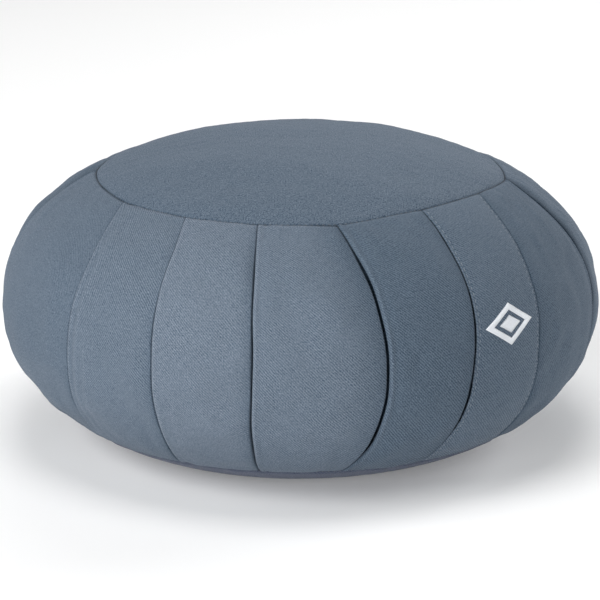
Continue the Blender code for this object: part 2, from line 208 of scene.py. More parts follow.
# ridges pressed into the cloth beside the folds: the fold, mm along the cloth from its line
# (to the right where positive), where down the band it starts and ends, width and height in mm
RIDGES = [
    # fold  from   to    start  end   width height
    ("P1",   5.5,  7.5,  0.30,  0.97,  1.6,  0.50),
    ("P1",  11.5, 15.0,  0.48,  1.00,  2.0,  0.38),
    ("P1",   9.0,  6.0,  0.02,  0.36,  2.2,  0.24),
    ("P1", -14.0, -9.0,  0.60,  0.98,  2.6, -0.28),
    ("P0",  12.0, 16.0,  0.02,  0.36,  1.8,  0.32),
    ("P0",  19.0, 26.0,  0.04,  0.30,  2.2, -0.26),
    ("P2",   9.0, 10.0,  0.62,  1.00,  2.4,  0.24),
    ("P2", -11.0, -8.0,  0.70,  1.00,  2.6, -0.22),
    ("P3",   8.0,  9.5,  0.72,  1.00,  2.2,  0.20),
    ("P4", -16.0, -9.0,  0.80,  1.00,  2.8, -0.30),
    ("P4",  10.0, 13.0,  0.00,  0.24,  2.2, -0.20),
    ("P6",   9.0, 12.0,  0.00,  0.34,  1.8,  0.24),
    ("P6",  17.0, 22.0,  0.02,  0.40,  2.2,  0.20),
    ("P7",   8.0, 10.0,  0.02,  0.50,  2.2,  0.34),
    ("P7",  17.0, 19.0,  0.05,  0.42,  2.6,  0.26),
    ("P9",  10.0, 14.0,  0.00,  0.34,  2.2,  0.24),
    ("P9", -12.0, -8.0,  0.66,  1.00,  2.4,  0.26),
    ("P11", 12.0,  9.0,  0.00,  0.30,  2.4,  0.24),
    ("P12", 7.0,  10.0,  0.45,  0.98,  1.9,  0.32),
    ("P13", 9.0,  12.0,  0.00,  0.32,  2.2,  0.22),
    ("P14", -13.0, -8.0, 0.64,  1.00,  2.6,  0.26),
    ("P15", 8.0,  11.0,  0.40,  1.00,  2.0,  0.30),
]


# ---------------------------------------------------------------- soft unevenness
def ripples(seed, count, low, high, stretch=1.0):
    """Smooth noise of two lengths in mm: a sum of waves whose lengths run from low to high mm."""
    rng = np.random.default_rng(seed)
    size = np.exp(rng.uniform(math.log(low), math.log(high), count))
    turn = rng.uniform(0, 2 * math.pi, count)
    phase = rng.uniform(0, 2 * math.pi, count)
    kx, ky = np.cos(turn) / size, np.sin(turn) / (size * stretch)
    amp = size / size.max()

    def at(x, y):
        total = 0.0
        for a, b, p, m in zip(kx, ky, phase, amp):
            total = total + m * np.sin(2 * math.pi * (a * x + b * y) + p)
        return total / math.sqrt((amp ** 2).sum() / 2)
    return at


FILLING = ripples(11, 26, 14.0, 48.0)            # the filling pressing through
HAND = ripples(12, 30, 5.0, 13.0)                # slight puckers of the cloth
STREAKS = ripples(13, 26, 2.6, 8.0, 14.0)        # fine creases running down from the seam
SEAM_PUCKER = ripples(14, 22, 5.0, 14.0, 5.0)    # ease gathered by the seams


# ---------------------------------------------------------------- the filling's pressure
SWELL_CAP = 1.8              # mm that the cloth may move
SWELL_ACROSS, SWELL_DOWN = 10, 36        # cells of each band panel in the simulation
SWELL_RINGS, SWELL_AROUND = 22, 120      # cells of the top panel


def blown_up(points, faces, seams, ease, pressure):
    """How far cloth held at its seams moves when the filling presses on it from inside."""
    mesh = bpy.data.meshes.new("trial_cloth")
    mesh.from_pydata([tuple(p) for p in points], [], [tuple(int(i) for i in f) for f in faces])
    obj = bpy.data.objects.new("trial_cloth", mesh)
    bpy.context.scene.collection.objects.link(obj)
    held = obj.vertex_groups.new(name="seams")
    held.add([int(i) for i in seams], 1.0, "REPLACE")
    modifier = obj.modifiers.new("Cloth", "CLOTH")
    cloth = modifier.settings
    cloth.quality = 6
    cloth.mass = 0.15
    cloth.tension_stiffness = cloth.compression_stiffness = 12.0
    cloth.shear_stiffness = 4.0
    cloth.bending_stiffness = 0.02
    cloth.use_pressure = True
    cloth.uniform_pressure_force = pressure
    cloth.vertex_group_mass = "seams"
    cloth.shrink_min = -ease
    cloth.effector_weights.gravity = 0.0
    modifier.collision_settings.use_collision = False
    scene = bpy.context.scene
    for number in range(1, 21):
        scene.frame_set(number)
    blown = obj.evaluated_get(bpy.context.evaluated_depsgraph_get())
    moved = np.empty(len(mesh.vertices) * 3)
    blown.data.vertices.foreach_get("co", moved)
    bpy.data.objects.remove(obj)
    bpy.data.meshes.remove(mesh)
    scene.frame_set(1)
    return moved.reshape(-1, 3) - np.asarray(points)


def capped(move):
    return SWELL_CAP * np.tanh(move / SWELL_CAP)


def band_swell():
    """Outward movement in mm of each band panel's cells: rows down the band, columns around it."""
    rows, columns = SWELL_DOWN + 1, 16 * SWELL_ACROSS
    share = np.linspace(0.0, 1.0, rows)
    az = np.zeros((rows, columns))
    for i in range(16):
        left, right = fold_azimuth(i, share), fold_azimuth(i + 1, share)
        for k in range(SWELL_ACROSS):
            az[:, i * SWELL_ACROSS + k] = left + (right - left) * k / SWELL_ACROSS
    arc = band_arc(share[:, None], az)
    points, outer = place(arc, az, np.zeros_like(az)), place(arc, az, np.full_like(az, -MM))
    number = np.arange(rows * columns).reshape(rows, columns)
    seams = np.unique(np.concatenate([number[0], number[-1], number[:, ::SWELL_ACROSS].ravel()]))
    move = blown_up(points.reshape(-1, 3), grid_faces(rows, columns, True), seams, 0.006, 4.0)
    out = (outer - points).reshape(-1, 3) / MM
    return evened(capped((move * out).sum(1) / MM).reshape(rows, columns), SWELL_ACROSS)


def top_swell():
    """The same for the top panel: rings from its middle outwards, columns around it."""
    az = np.arange(SWELL_AROUND) * 360.0 / SWELL_AROUND - 99.0
    part = np.linspace(0.0, 1.0, SWELL_RINGS + 1)[1:]
    arc = part[:, None] * (TOP_ARC - seam_lift(az))[None, :]
    azs = np.repeat(az[None, :], SWELL_RINGS, 0)
    points, outer = place(arc, azs, np.zeros_like(azs)), place(arc, azs, np.full_like(azs, -MM))
    middle = SWELL_RINGS * SWELL_AROUND
    all_points = np.concatenate([points.reshape(-1, 3), [[0.0, 0.0, HEIGHT]]])
    faces = [tuple(f) for f in grid_faces(SWELL_RINGS, SWELL_AROUND, True)]
    faces += [(middle, k, (k + 1) % SWELL_AROUND) for k in range(SWELL_AROUND)]
    move = blown_up(all_points, faces, np.arange(middle - SWELL_AROUND, middle), 0.004, 4.0)
    out = np.concatenate([(outer - points).reshape(-1, 3) / MM, [[0.0, 0.0, 1.0]]])
    move = capped((move * out).sum(1) / MM)
    field = np.concatenate([np.full((1, SWELL_AROUND), move[-1]), move[:-1].reshape(SWELL_RINGS, SWELL_AROUND)])
    return evened(field, 0)


def evened(field, across):
    """The field with its jitter from cell to cell taken out; seams and folds keep still."""
    held = np.zeros_like(field, bool)
    held[[0, -1]] = True
    if across:
        held[:, ::across] = True
    for _ in range(2):
        calm = (2 * field + np.roll(field, 1, 1) + np.roll(field, -1, 1)) / 4
        calm[1:-1] = (2 * calm[1:-1] + calm[:-2] + calm[2:]) / 4
        field = np.where(held, field, calm)
    return field


def four_shares(x):
    return (((2 - x) * x - 1) * x / 2, ((3 * x - 5) * x * x + 2) / 2, ((4 - 3 * x) * x + 1) * x / 2, (x - 1) * x * x / 2)


def sampled(field, row, column):
    """A field of cells read smoothly between its points; its columns run round."""
    rows, columns = field.shape
    row = np.clip(np.asarray(row, float), 0.0, rows - 1.000001)
    column = np.asarray(column, float)
    r, c = np.floor(row).astype(int), np.floor(column).astype(int)
    total = 0.0
    for i, a in enumerate(four_shares(row - r)):
        for j, b in enumerate(four_shares(column - c)):
            total = total + a * b * field[np.clip(r + i - 1, 0, rows - 1), (c + j - 1) % columns]
    return total


# ---------------------------------------------------------------- one row of the band
UNDER, BACK, NOSE = 3, 3, 7
FOLD = UNDER + 1 + BACK + NOSE
# mm from the edge of a panel to its columns, on the side that dives and on the side that lies on top
DIVES = np.array([0.10, 0.40, 0.72, 1.08, 1.50, 2.05, 2.9, 4.3, 6.6, 10.0])
LIES = np.array([0.35, 0.80, 1.35, 2.00, 2.75, 3.65, 4.8, 6.2, 8.0, 10.4])
MIDDLE = 17
EXPOSED = 10 + MIDDLE + 10
STRIP_SIDE = 9.0             # mm that the band's columns under the strip reach in from its edge


def end_spacing(n):
    """Shares 0..1 that sit closer together near both ends."""
    t = np.linspace(0.0, 1.0, n)
    return t - 0.09 * np.sin(2 * math.pi * t)


def wander(index, share):
    """How far a fold's edge strays from its smooth line, in mm."""
    index = index % 16
    rng = np.random.default_rng(500 + index)
    amp = 0.10 if PLEATS[index][6] == 0 else 0.30
    total = 0.0
    for k, weight in ((1.6, 1.0), (3.1, 0.7), (5.3, 0.35)):
        total += weight * math.sin(2 * math.pi * (k * share + rng.uniform())) * rng.uniform(0.6, 1.0)
    return amp * total * min(1.0, share / 0.08, (1 - share) / 0.08)


class Fold:
    """Sizes of one fold at one height, in mm."""

    def __init__(self, index, share):
        name = PLEATS[index % 16][0]
        valley, slot, self.roll, broad, lip = FOLD_LOOKS[name]
        uneven = 1 + 0.10 * math.sin(9.0 * share + index * 1.7) + 0.07 * math.sin(23.0 * share + index)
        self.valley = float(eased_through(valley, share)) * (1 + 0.05 * math.sin(13 * share + index))
        self.slot = float(eased_through(slot, share)) * uneven
        self.broad = float(eased_through(broad, share))
        hold = 1 - math.exp(-(min(share, 1 - share) * BAND_MM / 7.0))
        self.edge = 0.10 + 0.35 * hold
        self.lip = min(lip, self.valley - self.edge - 0.12)
        self.nose = self.lip / 2
        self.lies = PLEATS[index % 16][6]
        r = float(girth_radius(share))
        self.per_mm = math.degrees(MM / r)
        self.at = float(fold_azimuth(index, share)) + wander(index, share) * self.per_mm
        lap = max(0.0, BAND_LENGTH - 2 * math.pi * r) / 32 / MM
        self.lap = max(lap, self.lip + 1.4)
        # the lip gets a painted highlight and the lower panel beside the fold gets painted shade
        fuzz, self.fuzz_mm, shade, self.shade_mm = EDGE_LOOKS.get(name, PLAIN_EDGE)
        self.fuzz = fuzz * hold
        self.shade = float(eased_through(shade, share))
        # darker painted shade in the fold's open slot
        self.slot_shade = min(0.62, 0.20 * (self.valley - 0.6))

    def dive(self, x):
        """Depth of the lower panel this far from the line of the fold's edge."""
        return (self.valley - self.broad) * np.exp(-(x / self.slot) ** 2.6) + self.broad * np.exp(-(x / self.roll) ** 1.5)

    def top(self, x):
        """Depth of the upper panel this far in from the fold's edge."""
        return self.edge * np.exp(-x / 7.0) - 0.26 * np.exp(-((x - 1.2) / 0.9) ** 2) + 0.28 * np.exp(-((x - 4.0) / 1.5) ** 2)

    def painted_shade(self, x):
        """Painted shade on the lower panel this far from the line of the fold's edge, as a tone."""
        return (1 - self.shade * np.exp(-(x / self.shade_mm) ** 1.6)) * (1 - self.slot_shade * np.exp(-(x / (self.slot * 1.1)) ** 2))

    def painted_highlight(self, x):
        """Painted highlight on the upper panel this far in from the fold's edge, as a tone."""
        return 1 + self.fuzz * np.exp(-(x / self.fuzz_mm) ** 2)

    def points(self):
        """(mm towards the tuck, depth) from the slot, round the tuck, to the top of the nose."""
        v, low = self.valley, self.edge + self.lip
        under = [(self.lap * 0.22, v), (self.lap * 0.6, v + 0.1), (self.lap, v + 0.25)]
        turn = [(self.lap + 0.25, v + 0.1)]
        back = [(self.lap, v - 0.06), (self.lap * 0.6, (low + v) / 2), (max(self.lap * 0.25, self.nose * 1.2), low)]
        around = [(self.nose * (1 - math.cos(t)), self.edge + self.nose * (1 - math.sin(t))) for t in np.radians(np.linspace(-72, 86, NOSE))]
        return under + turn + back + around


PANEL_STYLE = {
    # panel after fold i: its tone against the rest, and the size of its fine creases, mm
    0: (0.83, 0.14), 1: (0.935, 0.05), 2: (1.045, 0.03), 3: (0.985, 0.04), 4: (0.70, 0.05), 5: (0.76, 0.0),
    6: (0.665, 0.11), 7: (0.80, 0.12), 8: (0.86, 0.14), 9: (0.90, 0.08), 10: (0.88, 0.16), 11: (0.94, 0.06),
    12: (0.92, 0.14), 13: (0.86, 0.18), 14: (0.90, 0.08), 15: (0.80, 0.14),
}


WEAVE = {0: 0.7, 1: 1.3, 3: 1.25, 4: 1.3, 6: 0.8}   # how clearly the twill shows in a panel


def panel_points(left, right, covered, share):
    """(azimuth, depth, tone, place across 0..1) of the columns across what shows of a panel; the tone is painted shade
    and highlight beside its folds.
    """
    width = (right.at - left.at) / left.per_mm
    if covered:
        t = end_spacing(EXPOSED + 2)[1:-1]
        x = STRIP_SIDE + (width - 2 * STRIP_SIDE) * t
        bed = left.valley + (right.valley - left.valley) * t
        hold = 1 - math.exp(-(min(share, 1 - share) * BAND_MM / 8.0))
        return left.at + x * left.per_mm, bed - (bed - 2.0) * np.sin(math.pi * t) ** 0.8 * hold, np.ones_like(x), 0 * x
    k = min(1.0, width / 42.0)
    near = LIES * k + left.nose if left.lies > 0 else DIVES * k
    far = LIES * k + right.nose if right.lies < 0 else DIVES * k
    middle = np.linspace(near[-1], width - far[-1], MIDDLE + 2)[1:-1]
    x = np.concatenate([near, middle, width - far[::-1]])
    depth = left.top(x) if left.lies > 0 else left.dive(x)
    depth = depth + (right.top(width - x) if right.lies < 0 else right.dive(width - x))
    tone = left.painted_highlight(x) if left.lies > 0 else left.painted_shade(x)
    tone = tone * (right.painted_highlight(width - x) if right.lies < 0 else right.painted_shade(width - x))
    return left.at + x * left.per_mm, depth, tone, x / width


def band_row(share):
    """azimuth, depth in mm, the cloth's own x in mm, tone with painted shade and highlight, and panel place for a
    whole row.
    """
    folds = [Fold(i, share) for i in range(17)]
    azs, deps, tones, across = [], [], [], []
    for i in range(16):
        here, after = folds[i], folds[i + 1]
        if here.lies == 0:
            steps = np.linspace(0.06, 0.95, FOLD)
            inward = 1 if i == 5 else -1
            a = here.at + inward * STRIP_SIDE * steps * here.per_mm
            d = here.valley + 0.12 * np.sin(math.pi * steps)
            if inward < 0:
                a, d = a[::-1], d[::-1]
            # painted shade on the columns under the strip's turned edge
            tones.append(np.full(FOLD, 1 - here.shade))
        else:
            pts = here.points()
            a = np.array([here.at + here.lies * x * here.per_mm for x, _ in pts])
            d = np.array([y for _, y in pts])
            # painted shade on the tucked layers and the nose's far side, rising to the painted highlight on the nose's
            # top
            painted_tuck_shade = (1 - here.shade) * (1 - here.slot_shade)
            round_it = np.linspace(0.0, 1.0, NOSE) ** 0.6
            tone = np.concatenate([np.full(FOLD - NOSE, painted_tuck_shade), painted_tuck_shade + (1 + here.fuzz - painted_tuck_shade) * round_it])
            if here.lies < 0:
                a, d, tone = a[::-1], d[::-1], tone[::-1]
            tones.append(tone)
        azs.append(a)
        deps.append(d)
        across.append(np.full(FOLD, float(i)))
        a, d, tone, t = panel_points(here, after, i == 5, share)
        azs.append(a)
        deps.append(d)
        tones.append(tone)
        across.append(i + t)
    az, dep = np.concatenate(azs), np.concatenate(deps)
    widths = [(folds[i + 1].at - folds[i].at) / folds[i].per_mm for i in range(16)]
    raised, painted_ridge_light = ridges_at(share, np.concatenate(across), widths)
    dep = dep - raised
    x = np.cumsum(np.concatenate([[0.0], np.hypot(np.diff(az) / folds[0].per_mm, np.diff(dep))]))
    return az, dep, x, np.concatenate(tones) * painted_ridge_light, np.concatenate(across)


def ridges_at(share, across, widths):
    """Height in mm of the pressed ridges and their tone, a painted highlight on each ridge and painted shade beside
    it; widths are each panel's in mm at this height.
    """
    total, tone = np.zeros_like(across), np.ones_like(across)
    names = [p[0] for p in PLEATS]
    for name, start_mm, end_mm, start, end, width, height in RIDGES:
        u = (share - start) / (end - start)
        if not 0.0 < u < 1.0:
            continue
        fold = names.index(name)
        panel = fold if start_mm > 0 else (fold - 1) % 16
        wide = widths[panel]
        at = start_mm + (end_mm - start_mm) * u + 0.8 * math.sin(7.0 * u + fold)
        x = (across - panel) * wide
        x = x if start_mm > 0 else x - wide
        on = (across >= panel) & (across < panel + 1)
        size = height * math.sin(math.pi * u) ** 0.7
        total += np.where(on, size * np.exp(-((x - at) / width) ** 2), 0.0)
        # painted highlight along the ridge and painted shade to one side of it
        side = 1.0 if at < 0 else -1.0
        tone += np.where(on, 0.30 * size * np.exp(-((x - at) / (0.7 * width)) ** 2)
                         - 0.20 * size * np.exp(-((x - at - side * 1.5 * width) / width) ** 2), 0.0)
    return total, tone


def row_shares():
    """Heights of the band's rows, closer together beside the seams."""
    close = np.array([0.0, 0.45, 0.9, 1.5, 2.3, 3.4, 4.8]) / BAND_MM
    return np.concatenate([close, np.linspace(6.4 / BAND_MM, 1 - 6.4 / BAND_MM, 88), 1 - close[::-1]])


def seam_draw(share):
    """mm that the cloth is drawn in beside the seams."""
    top, low = share * BAND_MM, (1 - share) * BAND_MM
    return (0.80 * np.exp(-(top / 0.9) ** 1.2) + 0.30 * np.exp(-top / 6.0)
            + 0.85 * np.exp(-(low / 0.9) ** 1.2) + 0.35 * np.exp(-low / 6.0))


# painted shade in the crease beside the top seam
def seam_shade(mm_from_seam, azimuth):
    """Tone of the cloth beside the top seam, darker where the photograph shows it thick."""
    az = (np.asarray(azimuth, float) + 180.0) % 360.0 - 180.0
    thick = smooth((16.0 - np.abs(az + 62.0)) / 8.0) + 0.8 * smooth((15.0 - np.abs(az - 47.0)) / 6.0)
    return 1 - (0.26 + 0.40 * np.clip(thick, 0, 1)) * np.exp(-(mm_from_seam / 0.65) ** 2)


def low_shade(share):
    """Painted shade towards the bottom seam: the cloth a little darker than above."""
    return 1 - 0.10 * smooth((share - 0.68) / 0.24)


def swell_at(share, across):
    """Outward movement in mm at a place on the band; each row's folds settle by half of it."""
    field = sampled(SWELL, share * SWELL_DOWN, across * SWELL_ACROSS)
    level = np.interp(share, np.linspace(0, 1, SWELL_DOWN + 1), SWELL.mean(1))
    return field - 0.5 * level


def new_object(name, points, faces, uv=None, attributes=None, smooth_shaded=True):
    mesh = bpy.data.meshes.new(name)
    mesh.from_pydata([tuple(p) for p in points], [], [tuple(f) for f in faces])
    if uv is not None:
        layer = mesh.uv_layers.new(name="cloth")
        loops = np.empty(len(mesh.loops), np.int64)
        mesh.loops.foreach_get("vertex_index", loops)
        layer.data.foreach_set("uv", np.asarray(uv, np.float32)[loops].ravel())
    for key, values in (attributes or {}).items():
        attribute = mesh.attributes.new(key, "FLOAT", "POINT")
        attribute.data.foreach_set("value", np.asarray(values, np.float32).ravel())
    mesh.validate()
    if smooth_shaded:
        mesh.shade_smooth()
    mesh.update()
    obj = bpy.data.objects.new(name, mesh)
    bpy.context.scene.collection.objects.link(obj)
    return obj


def grid_faces(rows, columns, closed, first=0, flip=False):
    r, c = np.meshgrid(np.arange(rows - 1), np.arange(columns if closed else columns - 1), indexing="ij")
    a = first + r * columns + c
    b = first + r * columns + (c + 1) % columns
    d = first + (r + 1) * columns + c
    e = first + (r + 1) * columns + (c + 1) % columns
    f = np.stack([a, d, e, b], -1).reshape(-1, 4)
    return f[:, ::-1] if flip else f


# ---------------------------------------------------------------- the pleated body
def make_band():
    shares = row_shares()
    rows = [band_row(float(s)) for s in shares]
    columns = len(rows[0][0])
    az = np.array([r[0] for r in rows])
    dep = np.array([r[1] for r in rows])
    x = np.array([r[2] for r in rows])
    painted_edge_light = np.array([r[3] for r in rows])
    across_at = np.array([r[4] for r in rows])
    per = FOLD + EXPOSED
    tone = np.ones(columns)
    streak = np.zeros(columns)
    inside = np.zeros(columns)
    weave = np.ones(columns)
    across = np.clip(np.minimum(np.arange(EXPOSED) + 1, EXPOSED - np.arange(EXPOSED)) / 12.0, 0, 1)
    for i in range(16):
        part = slice(i * per, (i + 1) * per)
        shows = slice(i * per + FOLD, (i + 1) * per)
        middle = i * per + FOLD + EXPOSED // 2
        # each panel's middle keeps its place along the flat band
        x[:, part] = x[:, part] + ((i + 0.5) * BAND_LENGTH / MM / 16 - x[:, middle])[:, None]
        # the fold belongs to the panel that lies on top
        tone[shows] = PANEL_STYLE[i][0]
        tone[i * per:i * per + FOLD] = PANEL_STYLE[i][0] if PLEATS[i][6] > 0 else PANEL_STYLE[(i - 1) % 16][0]
        streak[shows] = PANEL_STYLE[i][1]
        inside[shows] = smooth(across)
        weave[part] = WEAVE.get(i, 1.0)
    y = np.repeat((shares * BAND_MM)[:, None], columns, 1)
    ends = np.minimum(y, BAND_MM - y)
    keep = inside[None, :] * smooth(ends / 8.0)
    # soft unevenness, dying out towards folds and seams
    bumps = (0.30 * FILLING(x, y) + 0.07 * HAND(x, y)) * keep
    crease = STREAKS(x, y) + 0.6 * STREAKS(1.9 * x + 70, y * 1.3)
    bumps += streak[None, :] * crease * inside[None, :] * smooth(y / 4.0) * np.exp(-y / 48.0)
    pucker = np.exp(-((y - 3.5) / 4.0) ** 2) + 0.9 * np.exp(-((BAND_MM - y - 3.5) / 4.0) ** 2)
    bumps += 0.12 * SEAM_PUCKER(x, y) * pucker * inside[None, :]
    bumps += swell_at(np.repeat(shares[:, None], columns, 1), across_at)
    depth = dep + seam_draw(shares)[:, None] - bumps
    points = place(band_arc(shares[:, None], az), az, depth * MM)
    uv = np.stack([x * MM, y * MM], -1)
    # rows that turn in at the seams, and the hidden crown and base that close the body
    tight_az, low_az = closing_azimuths(0.0), closing_azimuths(1.0)
    full = np.full(columns, MM)
    top_in = [place(band_arc(0.0, tight_az) - 0.3 * MM, tight_az, 2.6 * full), place(band_arc(0.0, tight_az) - 1.4 * MM, tight_az, 4.4 * full)]
    low_in = [place(band_arc(1.0, low_az) + 0.3 * MM, low_az, 2.6 * full), place(band_arc(1.0, low_az) + 1.4 * MM, low_az, 4.4 * full)]
    crown = [place(k * band_arc(0.0, tight_az), tight_az, 3.2 * full) for k in (0.93, 0.7, 0.4)]
    base = [place(FULL_ARC - (FULL_ARC - band_arc(1.0, low_az)) * k, low_az, 3.2 * full) for k in (0.93, 0.7, 0.4)]
    stack = crown[::-1] + top_in[::-1] + list(points) + low_in + base
    before, after = len(crown) + len(top_in), len(base) + len(low_in)
    flat_uv = [np.stack([x[0] * MM, np.full(columns, -0.004)], -1)] * before
    end_uv = [np.stack([x[-1] * MM, np.full(columns, BAND_MM * MM + 0.004)], -1)] * after
    all_uv = np.concatenate(flat_uv + [uv.reshape(-1, 2)] + end_uv)
    pts = np.concatenate([s.reshape(-1, 3) for s in stack])
    faces = [tuple(f) for f in grid_faces(len(stack), columns, True)]
    top_mid, low_mid = len(pts), len(pts) + 1
    pts = np.concatenate([pts, [[0, 0, HEIGHT - 3.2 * MM], [0, 0, 3.2 * MM]]])
    all_uv = np.concatenate([all_uv, [[0, 0], [0, 0]]])
    last = (len(stack) - 1) * columns
    for c in range(columns):
        n = (c + 1) % columns
        faces.append((top_mid, c, n))
        faces.append((low_mid, last + n, last + c))
    # painted shade beside the top seam and towards the bottom, and a painted highlight just below the top seam
    rows_tone = tone[None, :] * painted_edge_light * seam_shade(y, az) * low_shade(y / BAND_MM) * (1 + 0.06 * np.exp(-((y - 1.7) / 0.7) ** 2))
    # painted shade in the crease at the bottom seam
    rows_tone *= 1 - 0.25 * np.exp(-((BAND_MM - y) / 0.9) ** 2)
    tones = np.concatenate([rows_tone[:1]] * before + [rows_tone] + [rows_tone[-1:]] * after).ravel()
    tones = np.concatenate([tones, [1.0, 1.0]])
    return new_object("pleated_body_cloth", pts, faces, all_uv, {"tone_and_painted_light": tones, "weave": np.concatenate([np.tile(weave, len(stack)), [1.0, 1.0]])})


def closing_azimuths(share):
    """The row's azimuths with the folds closed up, so that they only grow."""
    per = FOLD + EXPOSED
    out = np.empty(16 * per)
    for i in range(16):
        at, after = float(fold_azimuth(i, share)), float(fold_azimuth(i + 1, share))
        out[i * per:i * per + FOLD] = at + np.linspace(-0.30, 0.30, FOLD)
        row = panel_points(Fold(i, share), Fold(i + 1, share), i == 5, share)[0]
        out[i * per + FOLD:(i + 1) * per] = np.clip(row, at + 0.32, after - 0.32)
    return out


# ---------------------------------------------------------------- the round panels
def make_panel(name, top):
    around = 384
    az = np.arange(around) * 360.0 / around - 99.0
    seam = TOP_ARC - seam_lift(az) if top else np.full(around, FULL_ARC - BOTTOM_ARC)
    close = np.array([0.0, 0.45, 0.9, 1.5, 2.3, 3.4, 4.8, 6.6, 8.8, 11.4]) * MM
    reach_rows = [p * (seam - 14.0 * MM) for p in np.linspace(0.03, 1.0, 36)] + [seam - c for c in close[::-1]]
    rows, uvs, tones = [], [], []
    for reach in reach_rows:
        dist = (seam - reach) / MM                               # mm from the seam
        # painted shade in the crease along each panel's seam
        tones.append(seam_shade(dist, az) if top else 1 - 0.12 * np.exp(-(dist / 0.9) ** 2))
        d = 0.80 * np.exp(-(dist / 0.9) ** 1.2) + 0.30 * np.exp(-dist / 6.0)
        px, py = reach * np.sin(np.radians(az)) / MM, -reach * np.cos(np.radians(az)) / MM
        ring = az * math.radians(TOP_SEAM_RADIUS / MM)
        if top:
            calm = smooth(dist / 10.0)
            d = d - 0.22 * TOP_FILL(px, py) * calm - 0.06 * HAND(px + 400, py) * calm
            swell = sampled(TOP_SWELL, reach / seam * SWELL_RINGS, np.arange(around) * SWELL_AROUND / around)
            d = d - (swell - 0.6 * TOP_SWELL.mean())
            d = d - 0.09 * SEAM_PUCKER(ring, dist * 0.7) * np.exp(-((dist - 3.5) / 4.0) ** 2)
            pts = place(reach, az, d * MM)
        else:
            flat = smooth((dist - 4.0) / 16.0)
            d = d - 0.14 * SEAM_PUCKER(ring + 900, dist * 0.7) * np.exp(-((dist - 4.0) / 5.0) ** 2)
            d = np.maximum(d, 0.0) + 0.10 * flat * np.maximum(HAND(px, py), 0.0)
            pts = place(FULL_ARC - reach, az, d * MM)
            pts[:, 2] = np.maximum(pts[:, 2], 0.0)
        rows.append(pts)
        uvs.append(np.stack([px * MM, py * MM], -1))
    # the edge turns down into the seam
    for down, inn in ((1.9, 0.12), (3.0, 0.7)):
        arc = seam - inn * MM if top else FULL_ARC - (seam - inn * MM)
        rows.append(place(arc, az, np.full(around, down * MM)))
        uvs.append(uvs[-1] * 1.01)
        tones.append(tones[-1])
    # inner face of the sheet
    inner = []
    for p in (0.97, 0.85, 0.6, 0.3):
        arc = p * seam if top else FULL_ARC - p * seam
        inner.append(place(arc, az, np.full(around, (2.1 if p > 0.9 else 1.1) * MM)))
    stack = np.concatenate([np.array(rows), np.array(inner)])
    pts = stack.reshape(-1, 3)
    uv = np.concatenate([np.array(uvs).reshape(-1, 2), np.zeros((len(inner) * around, 2))])
    faces = [tuple(f) for f in grid_faces(len(stack), around, True, flip=not top)]
    mid, under = len(pts), len(pts) + 1
    z0 = float(stack[0, :, 2].mean())
    z1 = HEIGHT - 1.1 * MM if top else 1.1 * MM
    pts = np.concatenate([pts, [[0, 0, z0], [0, 0, z1]]])
    uv = np.concatenate([uv, [[0, 0], [0, 0]]])
    tones = np.concatenate([np.array(tones).ravel(), np.ones(len(inner) * around + 2)])
    last = (len(stack) - 1) * around
    for c in range(around):
        n = (c + 1) % around
        faces.append((mid, c, n) if top else (mid, n, c))
        faces.append((under, last + n, last + c) if top else (under, last + c, last + n))
    return new_object(name, pts, faces, uv, {"tone_and_painted_light": tones, "weave": np.ones(len(pts))})


TOP_FILL = ripples(21, 22, 26.0, 80.0)


# ---------------------------------------------------------------- the strip
STRIP_EDGE = 0.70            # mm, radius of its turned edges
STRIP_STITCH = 1.5           # mm from its edges to the stitch line


def strip_frame(share):
    """Azimuth of the strip's middle, degrees in a mm and half its width in mm."""
    share = np.asarray(share, float)
    per_mm = np.degrees(MM / girth_radius(share))
    ends = []
    for i in (5, 6):
        stray = np.array([wander(i, float(v)) for v in share.ravel()]).reshape(share.shape)
        ends.append(fold_azimuth(i, share) + stray * per_mm)
    return (ends[0] + ends[1]) / 2, per_mm, (ends[1] - ends[0]) / 2 / per_mm


def strip_outer(share, across_mm, half_mm):
    """Depth in mm of the strip's outer face at a distance from its middle."""
    ends = np.minimum(share, 1 - share) * BAND_MM
    hold = 1 - np.exp(-ends / 8.0)
    left = eased_through((0.5, 1.2, 1.4, 1.3, 0.7), share)
    right = eased_through((0.2, 0.45, 0.5, 0.55, 0.4), share)
    t = across_mm / half_mm
    edge = np.where(t < 0, left, right)
    d = 0.10 + (edge - 0.10) * np.abs(t) ** 2.4
    from_edge = half_mm - np.abs(across_mm)
    d = d + 0.20 * np.exp(-((from_edge - STRIP_STITCH) / 0.45) ** 2)
    d = d - 0.10 * np.exp(-((from_edge - 0.7) / 0.4) ** 2)
    return d * (0.3 + 0.7 * hold)


def strip_bumps(x_mm, y_mm):
    ends = np.minimum(y_mm, BAND_MM - y_mm)
    share = np.clip(y_mm / BAND_MM, 0.0, 1.0)
    across = np.clip((x_mm / strip_frame(share)[2] + 1) / 2, 0.0, 1.0)
    own = (0.18 * FILLING(x_mm + 900, y_mm) + 0.05 * HAND(x_mm + 900, y_mm)) * smooth(ends / 8.0)
    return own + swell_at(share, 5 + 0.999 * across)


def on_strip(x_mm, y_mm, lift_mm):
    """Points on the strip's outer face, x_mm to the right of its middle, y_mm below the seam."""
    share = np.clip(y_mm / BAND_MM, 0.0, 1.0)
    mid, per_mm, half = strip_frame(share)
    az = mid + x_mm * per_mm
    depth = strip_outer(share, x_mm, half) + seam_draw(share) - strip_bumps(x_mm, y_mm)
    return place(band_arc(share, az), az, (depth - lift_mm) * MM)


